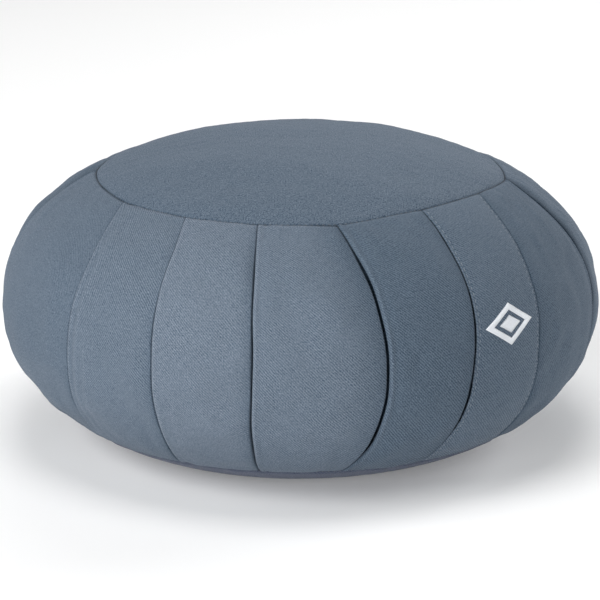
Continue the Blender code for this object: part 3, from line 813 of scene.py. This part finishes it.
def make_strip():
    inner = end_spacing(43)
    turn = np.radians(np.array([65, 40, 15, -10, -35, -60, -85]))
    rows, uvs, tones = [], [], []
    for s in row_shares():
        mid, per_mm, half = (float(v) for v in strip_frame(s))
        x = (inner * 2 - 1) * (half - STRIP_EDGE)
        d = strip_outer(s, x, half)
        e = STRIP_EDGE
        # from the top of each edge round to its underside
        lx, ld = -half + e - e * np.cos(turn), d[0] + e * (1 - np.sin(turn))
        rx, rd = half - e + e * np.cos(turn), d[-1] + e * (1 - np.sin(turn))
        ux = np.linspace(half - e, -half + e, 9)[1:-1]
        ud = np.interp(ux, [-half + e, 0, half - e], [ld[-1], 1.5, rd[-1]])
        xs = np.concatenate([lx[::-1], x, rx, ux])
        ds = np.concatenate([ld[::-1], d, rd, ud])
        y = float(s) * BAND_MM
        ds = ds + float(seam_draw(s)) - strip_bumps(xs, np.full_like(xs, y))
        az = mid + xs * per_mm
        uv = np.stack([(xs + 2000.0) * MM, np.full_like(xs, y * MM)], -1)
        from_edge = half - np.abs(xs)
        # painted shade along the sunken stitch line, a painted highlight on the turned edge, and painted shade at the
        # seams
        tone = 1 - 0.16 * np.exp(-((from_edge - STRIP_STITCH) / 0.35) ** 2) + 0.07 * np.exp(-((from_edge - 0.5) / 0.5) ** 2)
        tone = tone * seam_shade(y, az) * (1 - 0.25 * math.exp(-((BAND_MM - y) / 0.9) ** 2))
        if s == 0.0:
            rows.append(place(band_arc(s, az) - 0.3 * MM, az, (ds + 1.3) * MM))
            uvs.append(uv)
            tones.append(tone)
        rows.append(place(band_arc(s, az), az, ds * MM))
        uvs.append(uv)
        tones.append(tone)
        if s == 1.0:
            rows.append(place(band_arc(s, az) + 0.3 * MM, az, (ds + 1.3) * MM))
            uvs.append(uv)
            tones.append(tone)
    columns = len(rows[0])
    pts = np.array(rows).reshape(-1, 3)
    uv = np.array(uvs).reshape(-1, 2)
    faces = [tuple(f) for f in grid_faces(len(rows), columns, True)]
    # close the two ends across the thickness
    for base, flip in ((0, False), ((len(rows) - 1) * columns, True)):
        ring = [base + c for c in range(columns)]
        centre = len(pts)
        pts = np.concatenate([pts, [pts[ring].mean(0)]])
        uv = np.concatenate([uv, [uv[ring].mean(0)]])
        for c in range(columns):
            a, b = ring[c], ring[(c + 1) % columns]
            faces.append((centre, b, a) if flip else (centre, a, b))
    tones = np.concatenate([np.array(tones).ravel(), [tones[0].mean(), tones[-1].mean()]])
    return new_object("front_strip_cloth", pts, faces, uv, {"tone_and_painted_light": tones, "weave": np.full(len(pts), 1.2)})


# ---------------------------------------------------------------- threads
def capsule_mesh(paths, radius, sides=6, flat=1.0):
    """One mesh of many short threads; each path is (points, outward directions)."""
    verts, faces, uv = [], [], []
    for k, (line, out) in enumerate(paths):
        line, out = np.asarray(line, float), np.asarray(out, float)
        n = len(line)
        along = np.gradient(line, axis=0)
        along /= np.linalg.norm(along, axis=1)[:, None]
        side = np.cross(along, out)
        side /= np.linalg.norm(side, axis=1)[:, None]
        up = np.cross(side, along)
        first = len(verts)
        length = np.concatenate([[0], np.cumsum(np.linalg.norm(np.diff(line, axis=0), axis=1))])
        for i in range(n):
            e = min(i, n - 1 - i)
            size = radius * (0.45 if e == 0 else (0.88 if e == 1 else 1.0))
            for j in range(sides):
                a = 2 * math.pi * j / sides
                verts.append(line[i] + side[i] * math.cos(a) * size + up[i] * math.sin(a) * size * flat)
                uv.append((length[i] + 0.01 * k, j / sides * 0.002))
        for i in range(n - 1):
            for j in range(sides):
                a, b = first + i * sides + j, first + i * sides + (j + 1) % sides
                faces.append((a, b, b + sides, a + sides))
        faces.append(tuple(first + j for j in range(sides))[::-1])
        faces.append(tuple(first + (n - 1) * sides + j for j in range(sides)))
    return verts, faces, uv


def thread_object(name, paths, radius, sides=6, flat=1.0):
    verts, faces, uv = capsule_mesh(paths, radius, sides, flat)
    return new_object(name, verts, faces, np.array(uv))


def with_outward(place_at, *args):
    """A line at a small lift over a surface, and the directions out of it."""
    line = place_at(*args, 0.0)
    out = place_at(*args, 1.0) - line
    return line, out / np.linalg.norm(out, axis=1)[:, None]


def topstitches():
    paths = []
    pitch, length = 3.2, 2.3
    for sign in (-1, 1):
        y = 2.4
        while y + length < BAND_MM - 2.0:
            ys = np.linspace(y, y + length, 6)
            half = strip_frame(ys / BAND_MM)[2]
            xs = sign * (half - STRIP_STITCH)
            sink = 0.10 - 0.26 * np.array([1, 0.25, 0, 0, 0.25, 1])
            paths.append(with_outward(lambda a, b, c, extra: on_strip(a, b, c + extra), xs, ys, sink))
            y += pitch
    return thread_object("strip_topstitches", paths, 0.19 * MM, sides=7)


def seam_stitches(top):
    """Short threads across the crease where a round panel meets the band."""
    paths = []
    pitch = 2.8
    share = 0.0 if top else 1.0
    radius = TOP_SEAM_RADIUS if top else BOTTOM_SEAM_RADIUS
    count = int(round(2 * math.pi * radius / MM / pitch))
    slant = np.linspace(-0.5, 0.5, 5)
    for k in range(count):
        az = 360.0 * k / count + slant * math.degrees(1.3 * MM / radius)
        arc = band_arc(share, az) + slant * 0.9 * MM
        depth = 0.95 + 0.40 * (2 * slant) ** 2
        paths.append(with_outward(lambda a, b, c, extra: place(a, b, (c - extra) * MM), arc, az, depth))
    return thread_object("top_seam_stitches" if top else "bottom_seam_stitches", paths, 0.17 * MM, sides=6)


MOTIF_AT = (-0.8, 0.447)      # mm right of the strip's middle; share of the band's height


def motif_threads():
    """A plain lozenge inside a lozenge, in satin stitch."""
    paths = []
    wide, high, bar = 15.4, 9.8, 2.5
    cx, cy = MOTIF_AT[0], MOTIF_AT[1] * BAND_MM

    def thread(x0, y0, x1, y1, padding):
        n = 7
        t = np.linspace(0.0, 1.0, n)
        xs, ys = x0 + (x1 - x0) * t, y0 + (y1 - y0) * t
        lift = padding * (1 - (2 * t - 1) ** 4) - 0.04
        paths.append(with_outward(lambda a, b, c, extra: on_strip(a, b, c + extra), cx + xs, cy + ys, lift))

    for k in range(4):
        a = math.radians(90 * k)
        b = math.radians(90 * (k + 1))
        outer = [(wide * math.cos(a), high * math.sin(a)), (wide * math.cos(b), high * math.sin(b))]
        inner = [(x * (1 - bar / 7.6), y * (1 - bar / 7.6)) for x, y in outer]
        count = 44
        for j in range(count):
            t = (j + 0.5) / count
            thread(outer[0][0] + (outer[1][0] - outer[0][0]) * t, outer[0][1] + (outer[1][1] - outer[0][1]) * t,
                   inner[0][0] + (inner[1][0] - inner[0][0]) * t, inner[0][1] + (inner[1][1] - inner[0][1]) * t, 0.34)
    count = 32
    for j in range(count):
        t = (j + 0.5) / count * 2 - 1
        reach = 4.1 * (1 - abs(t)) + 0.10
        thread(t * 6.6 - 0.08, -reach, t * 6.6 + 0.08, reach, 0.40 * min(1.0, reach / 1.2))
    return thread_object("strip_motif", paths, 0.235 * MM, sides=6)


# ---------------------------------------------------------------- materials
class Nodes:
    def __init__(self, material):
        material.use_nodes = True
        self.tree = material.node_tree
        self.tree.nodes.clear()

    def new(self, kind, **sockets):
        node = self.tree.nodes.new(kind)
        for key, value in sockets.items():
            if hasattr(node, key) and key not in [s.name for s in node.inputs]:
                setattr(node, key, value)
        return node

    def put(self, socket, value):
        if isinstance(value, bpy.types.NodeSocket):
            self.tree.links.new(value, socket)
        else:
            socket.default_value = value

    def math(self, operation, a, b=0.0, c=0.0, clamp=False):
        node = self.tree.nodes.new("ShaderNodeMath")
        node.operation, node.use_clamp = operation, clamp
        for socket, value in zip(node.inputs, (a, b, c)):
            self.put(socket, value)
        return node.outputs[0]

    def mix(self, factor, a, b, blend="MIX"):
        node = self.tree.nodes.new("ShaderNodeMix")
        node.data_type, node.blend_type = "RGBA", blend
        self.put(node.inputs["Factor"], factor)
        self.put(node.inputs["A"], a)
        self.put(node.inputs["B"], b)
        return node.outputs["Result"]

    def noise(self, vector, scale, detail=2.0, rough=0.5, distortion=0.0):
        node = self.tree.nodes.new("ShaderNodeTexNoise")
        node.noise_dimensions = "3D"
        self.put(node.inputs["Vector"], vector)
        node.inputs["Scale"].default_value = scale
        node.inputs["Detail"].default_value = detail
        node.inputs["Roughness"].default_value = rough
        node.inputs["Distortion"].default_value = distortion
        return node.outputs["Fac"]

    def mapping(self, vector, scale=(1, 1, 1), rotation=(0, 0, 0), location=(0, 0, 0)):
        node = self.tree.nodes.new("ShaderNodeMapping")
        self.put(node.inputs["Vector"], vector)
        node.inputs["Scale"].default_value = scale
        node.inputs["Rotation"].default_value = rotation
        node.inputs["Location"].default_value = location
        return node.outputs[0]


def twill_material(name, colour, twill=1.0, angle=-45.0, pitch=1.06, rough=0.88, sheen=0.12, grain=1.0, fleck=(1500, 1150)):
    """Brushed cotton twill: diagonal ribs, uneven yarns, a heathered colour and a soft sheen of short fibres."""
    material = bpy.data.materials.new(name)
    n = Nodes(material)
    coords = n.new("ShaderNodeTexCoord")
    uvmap = n.new("ShaderNodeUVMap")
    uvmap.uv_map = "cloth"
    uv = uvmap.outputs[0]
    mm = n.mapping(uv, scale=(1000, 1000, 1000))
    obj_mm = n.mapping(coords.outputs["Object"], scale=(1000, 1000, 1000))
    # yarns wander a little
    wandering = n.noise(mm, 0.35, 2.0, 0.5)
    wandering = n.math("MULTIPLY", n.math("SUBTRACT", wandering, 0.5), 0.9)
    sep = n.new("ShaderNodeSeparateXYZ")
    n.put(sep.inputs[0], mm)
    x, y = sep.outputs[0], sep.outputs[1]
    ca, sa = math.cos(math.radians(angle)), math.sin(math.radians(angle))
    across = n.math("ADD", n.math("MULTIPLY", x, ca), n.math("MULTIPLY", y, sa))
    across = n.math("ADD", across, wandering)
    ribs = n.math("SINE", n.math("MULTIPLY", across, 2 * math.pi / pitch))
    ribs = n.math("MULTIPLY_ADD", ribs, 0.5, 0.5)
    # floats of the warp along each rib
    warp = n.math("SINE", n.math("MULTIPLY", n.math("ADD", x, n.math("MULTIPLY", wandering, 0.4)), 2 * math.pi / 0.42))
    weft = n.math("SINE", n.math("MULTIPLY", y, 2 * math.pi / 0.46))
    floats = n.math("MULTIPLY_ADD", warp, 0.30, n.math("MULTIPLY_ADD", weft, 0.20, 0.5))
    # heather: thin slubs along both yarns, flecks, and a finer grain
    slub_v = n.noise(n.mapping(uv, scale=(1500, 270, 1000)), 1.0, 2.0, 0.6)
    slub_h = n.noise(n.mapping(uv, scale=(250, 1500, 1000), location=(7, 3, 0)), 1.0, 2.0, 0.6)
    flecks = n.noise(n.mapping(uv, scale=(*fleck, 1000), location=(3, 8, 0)), 1.0, 1.0, 0.5)
    fine = n.noise(mm, 3.2, 2.0, 0.7)
    mottled = n.noise(mm, 0.085, 3.0, 0.55)
    broad = n.noise(obj_mm, 0.021, 2.0, 0.5)
    # brightness around 1
    clear = n.new("ShaderNodeAttribute")
    clear.attribute_name = "weave"
    patchy = n.math("MULTIPLY_ADD", n.noise(mm, 0.055, 2.0, 0.5), 2.0, -0.1, clamp=True)
    shown = n.math("MULTIPLY", n.math("MULTIPLY", clear.outputs["Fac"], patchy), 0.52 * twill)
    tone = n.math("MULTIPLY_ADD", n.math("SUBTRACT", ribs, 0.5), shown, 1.0)
    tone = n.math("MULTIPLY_ADD", n.math("SUBTRACT", floats, 0.5), 0.16 * twill, tone)
    tone = n.math("MULTIPLY_ADD", n.math("SUBTRACT", slub_v, 0.5), 0.55 * grain, tone)
    tone = n.math("MULTIPLY_ADD", n.math("SUBTRACT", slub_h, 0.5), 0.50 * grain, tone)
    tone = n.math("MULTIPLY_ADD", n.math("SUBTRACT", flecks, 0.5), 1.40 * grain, tone)
    tone = n.math("MULTIPLY_ADD", n.math("SUBTRACT", fine, 0.5), 1.00 * grain, tone)
    tone = n.math("MULTIPLY_ADD", n.math("SUBTRACT", mottled, 0.5), 0.14, tone)
    tone = n.math("MULTIPLY_ADD", n.math("SUBTRACT", broad, 0.5), 0.08, tone)
    tone = n.math("MINIMUM", n.math("MAXIMUM", tone, 0.45), 2.0)
    # light and dark yarns differ in grey, so flecks are less blue than the cloth
    grey = sum(colour) / 3
    rgb = n.new("ShaderNodeCombineColor")
    # the attribute holds each panel's tone together with the painted shade and highlight of folds, ridges and seams
    attribute = n.new("ShaderNodeAttribute")
    attribute.attribute_name = "tone_and_painted_light"
    for socket, value, strength in zip(rgb.inputs, colour, (1.25, 1.0, 0.85)):
        channel = n.math("MULTIPLY_ADD", n.math("SUBTRACT", tone, 1.0), 0.6 * grey + 0.4 * value, value)
        channel = n.math("MULTIPLY", channel, n.math("POWER", attribute.outputs["Fac"], strength))
        n.put(socket, channel)
    # a slight shift between bluer and greyer yarns
    hue = n.noise(n.mapping(uv, scale=(700, 180, 1000), location=(1, 9, 0)), 1.0, 2.0, 0.5)
    yarns = n.mix(n.math("MULTIPLY", n.math("SUBTRACT", hue, 0.35), 0.8, clamp=True), rgb.outputs[0],
                  n_scaled(n, rgb.outputs[0], (1.02, 1.0, 0.985)))
    height = n.math("MULTIPLY_ADD", ribs, 0.55 * twill, n.math("MULTIPLY", floats, 0.30 * twill))
    height = n.math("MULTIPLY_ADD", fine, 0.45 * grain, height)
    height = n.math("MULTIPLY_ADD", flecks, 0.55 * grain, height)
    height = n.math("MULTIPLY_ADD", slub_v, 0.45 * grain, height)
    height = n.math("MULTIPLY_ADD", slub_h, 0.40 * grain, height)
    bump = n.new("ShaderNodeBump")
    bump.inputs["Strength"].default_value = 0.7
    bump.inputs["Distance"].default_value = 0.00026
    n.put(bump.inputs["Height"], height)
    crease = n.noise(mm, 0.16, 3.0, 0.6, 0.6)
    bump2 = n.new("ShaderNodeBump")
    bump2.inputs["Strength"].default_value = 0.30
    bump2.inputs["Distance"].default_value = 0.0006
    n.put(bump2.inputs["Height"], crease)
    n.put(bump2.inputs["Normal"], bump.outputs[0])
    shader = n.new("ShaderNodeBsdfPrincipled")
    n.put(shader.inputs["Base Color"], yarns)
    n.put(shader.inputs["Roughness"], n.math("MULTIPLY_ADD", n.math("SUBTRACT", fine, 0.5), 0.12, rough))
    shader.inputs["Specular IOR Level"].default_value = 0.18
    shader.inputs["Sheen Weight"].default_value = sheen
    shader.inputs["Sheen Roughness"].default_value = 0.42
    shader.inputs["Sheen Tint"].default_value = (0.80, 0.88, 1.0, 1.0)
    n.put(shader.inputs["Normal"], bump2.outputs[0])
    out = n.new("ShaderNodeOutputMaterial")
    n.put(out.inputs["Surface"], shader.outputs[0])
    return material


def n_scaled(n, colour, factors):
    node = n.tree.nodes.new("ShaderNodeMix")
    node.data_type, node.blend_type = "RGBA", "MULTIPLY"
    node.inputs["Factor"].default_value = 1.0
    n.put(node.inputs["A"], colour)
    node.inputs["B"].default_value = (*factors, 1.0)
    return node.outputs["Result"]


def thread_material(name, colour, rough=0.5, sheen=0.3, twist=0.35):
    """Spun thread: plies that wind along its length."""
    material = bpy.data.materials.new(name)
    n = Nodes(material)
    uvmap = n.new("ShaderNodeUVMap")
    uvmap.uv_map = "cloth"
    sep = n.new("ShaderNodeSeparateXYZ")
    n.put(sep.inputs[0], uvmap.outputs[0])
    along = n.math("MULTIPLY", sep.outputs[0], 1000 * 2 * math.pi / twist)
    round_it = n.math("MULTIPLY", sep.outputs[1], 500 * 2 * math.pi)
    plies = n.math("SINE", n.math("ADD", along, round_it))
    coords = n.new("ShaderNodeTexCoord")
    grain = n.noise(n.mapping(coords.outputs["Object"], scale=(1000, 1000, 1000)), 2.2, 2.0, 0.6)
    tone = n.math("MULTIPLY_ADD", plies, 0.06, 1.0)
    tone = n.math("MULTIPLY_ADD", n.math("SUBTRACT", grain, 0.5), 0.30, tone)
    rgb = n.new("ShaderNodeCombineColor")
    for socket, value in zip(rgb.inputs, colour):
        n.put(socket, n.math("MULTIPLY", tone, value))
    bump = n.new("ShaderNodeBump")
    bump.inputs["Strength"].default_value = 0.5
    bump.inputs["Distance"].default_value = 0.00008
    n.put(bump.inputs["Height"], plies)
    shader = n.new("ShaderNodeBsdfPrincipled")
    n.put(shader.inputs["Base Color"], rgb.outputs[0])
    shader.inputs["Roughness"].default_value = rough
    shader.inputs["Sheen Weight"].default_value = sheen
    n.put(shader.inputs["Normal"], bump.outputs[0])
    out = n.new("ShaderNodeOutputMaterial")
    n.put(out.inputs["Surface"], shader.outputs[0])
    return material


def floor_material():
    material = bpy.data.materials.new("pale_floor")
    n = Nodes(material)
    coords = n.new("ShaderNodeTexCoord")
    cloud = n.noise(coords.outputs["Object"], 3.0, 2.0, 0.5)
    tone = n.math("MULTIPLY_ADD", n.math("SUBTRACT", cloud, 0.5), 0.01, 0.84)
    rgb = n.new("ShaderNodeCombineColor")
    for socket in rgb.inputs:
        n.put(socket, tone)
    shader = n.new("ShaderNodeBsdfPrincipled")
    n.put(shader.inputs["Base Color"], rgb.outputs[0])
    shader.inputs["Roughness"].default_value = 0.9
    shader.inputs["Specular IOR Level"].default_value = 0.1
    shader.inputs["Emission Color"].default_value = (1.0, 1.0, 1.0, 1.0)
    shader.inputs["Emission Strength"].default_value = 0.13
    out = n.new("ShaderNodeOutputMaterial")
    n.put(out.inputs["Surface"], shader.outputs[0])
    return material


# ---------------------------------------------------------------- build it
SWELL = band_swell()
TOP_SWELL = top_swell()
body = make_band()
top_panel = make_panel("top_panel_cloth", True)
bottom_panel = make_panel("bottom_panel_cloth", False)
strip = make_strip()
stitches = topstitches()
top_stitches = seam_stitches(True)
bottom_stitches = seam_stitches(False)
motif = motif_threads()

COLOUR = (0.115, 0.147, 0.190)


def toned(tone):
    """The cloth's colour darkened by this factor, a little bluer the darker it is."""
    return tuple(c * tone ** e for c, e in zip(COLOUR, (1.25, 1.0, 0.85)))


band_cloth = twill_material("band_twill", COLOUR)
panel_cloth = twill_material("panel_twill", toned(0.79), twill=0.5, grain=1.45, fleck=(1500, 1000))
# the base cloth is darker and bluer than the band: partly a darker fabric guessed for the base, partly painted shade
# for its rim in shade by the floor
base_cloth = twill_material("base_twill", (0.078, 0.090, 0.130), twill=0.8)
strip_cloth = twill_material("strip_twill", toned(0.78))
dark_thread = thread_material("seam_thread", (0.050, 0.064, 0.085), rough=0.6)
light_thread = thread_material("strip_thread", (0.150, 0.185, 0.230), rough=0.6)
white_thread = thread_material("white_thread", (0.72, 0.75, 0.79), rough=0.5)

for obj, material in ((body, band_cloth), (top_panel, panel_cloth), (bottom_panel, base_cloth),
                      (strip, strip_cloth), (stitches, light_thread), (top_stitches, dark_thread),
                      (bottom_stitches, dark_thread), (motif, white_thread)):
    obj.data.materials.append(material)

for obj in (body, top_panel, bottom_panel, strip, stitches, top_stitches, bottom_stitches, motif):
    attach(obj, "root")
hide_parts("pleated_body")
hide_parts("top_panel")
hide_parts("bottom_panel")
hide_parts("front_strip")

# ---------------------------------------------------------------- floor, light, camera
floor_mesh = bpy.data.meshes.new("floor")
floor_mesh.from_pydata([(-9, -9, -0.0002), (9, -9, -0.0002), (9, 9, -0.0002), (-9, 9, -0.0002)], [], [(0, 1, 2, 3)])
floor = bpy.data.objects.new("floor", floor_mesh)
bpy.context.scene.collection.objects.link(floor)
floor_mesh.materials.append(floor_material())


def area_light(name, azimuth, elevation, distance, size, power, colour=(1, 1, 1)):
    data = bpy.data.lights.new(name, "AREA")
    data.shape, data.size, data.energy, data.color = "DISK", size, power, colour
    obj = bpy.data.objects.new(name, data)
    a, e = math.radians(azimuth), math.radians(elevation)
    obj.location = Vector((math.sin(a) * math.cos(e), -math.cos(a) * math.cos(e), math.sin(e))) * distance + Vector((0, 0, 0.07))
    obj.rotation_euler = (Vector((0, 0, 0.07)) - obj.location).to_track_quat("-Z", "Y").to_euler()
    bpy.context.scene.collection.objects.link(obj)
    return obj


LIGHTS = [
    #  name        azimuth elevation distance size power colour
    ("key",          -50,    35,       2.4,    1.3,  30.1, (1.0, 1.0, 1.0)),
    ("key_low",      -25,    12,       2.4,    1.3,  24.8, (1.0, 1.0, 1.0)),
    ("side",         -75,    35,       2.4,    1.3,   9.1, (1.0, 1.0, 1.0)),
    ("fill",          25,    12,       2.4,    1.3,  10.4, (1.0, 1.0, 1.0)),
    ("rim",          120,    20,       2.4,    1.3,  35.5, (1.0, 1.0, 1.0)),
    ("back",         180,    40,       2.4,    1.3,  12.8, (1.0, 1.0, 1.0)),
    ("overhead",       0,    88,       2.4,    1.3,  21.6, (1.0, 1.0, 1.0)),
]
for row in LIGHTS:
    area_light(*row)

world = bpy.data.worlds.new("studio")
bpy.context.scene.world = world
world.use_nodes = True
world.node_tree.nodes["Background"].inputs[0].default_value = (1.0, 1.0, 1.0, 1.0)
world.node_tree.nodes["Background"].inputs[1].default_value = 0.02

CAMERA_DISTANCE, CAMERA_ELEVATION, CAMERA_AIM = 1.24, 16.67, 0.0646
camera_data = bpy.data.cameras.new("camera")
camera = bpy.data.objects.new("camera", camera_data)
e = math.radians(CAMERA_ELEVATION)
camera.location = (0.0, -CAMERA_DISTANCE * math.cos(e), CAMERA_AIM + CAMERA_DISTANCE * math.sin(e))
camera.rotation_euler = (Vector((0, 0, CAMERA_AIM)) - camera.location).to_track_quat("-Z", "Y").to_euler()
camera_data.sensor_width = 36.0
camera_data.lens = 36.0 * 2358.0 / 600.0
camera_data.clip_start, camera_data.clip_end = 0.05, 50.0
bpy.context.scene.collection.objects.link(camera)
bpy.context.scene.camera = camera

scene = bpy.context.scene
scene.view_settings.view_transform = "Standard"
scene.view_settings.look = "None"
scene.view_settings.exposure = 0.0
